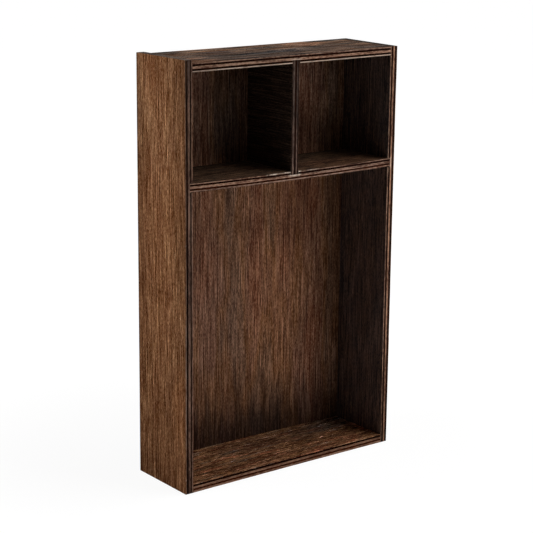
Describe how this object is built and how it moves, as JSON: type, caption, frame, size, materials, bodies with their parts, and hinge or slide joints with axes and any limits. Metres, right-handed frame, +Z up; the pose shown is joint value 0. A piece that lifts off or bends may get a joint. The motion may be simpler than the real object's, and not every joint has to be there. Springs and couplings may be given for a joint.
{
  "type": "display tray",
  "caption": "Open-fronted standing display tray of stained plywood, with a tall room under a shelf and small rooms beside a divider above it.",
  "frame": {"origin": "on the underside, in the middle of the width and the depth", "axes": "+X to the right seen from the open front, +Y from the front to the back, +Z up"},
  "size_m": [0.16, 0.05, 0.26],
  "materials": {
    "side_ply": "brown stained open-pored plywood, grain upright, light and dark plies at the edges",
    "top_ply": "greyish brown stained plywood, grain from side to side, light and dark plies at the edges",
    "level_ply": "brown stained plywood, grain from side to side, light and dark plies at the edges",
    "inner_ply": "dark reddish brown stained plywood"
  },
  "bodies": {
    "root": {"left_side": "side_ply", "right_side": "side_ply", "top_board": "top_ply", "bottom_board": "level_ply", "shelf": "level_ply", "divider": "inner_ply", "back_board": "inner_ply"}
  },
  "joints": []
}
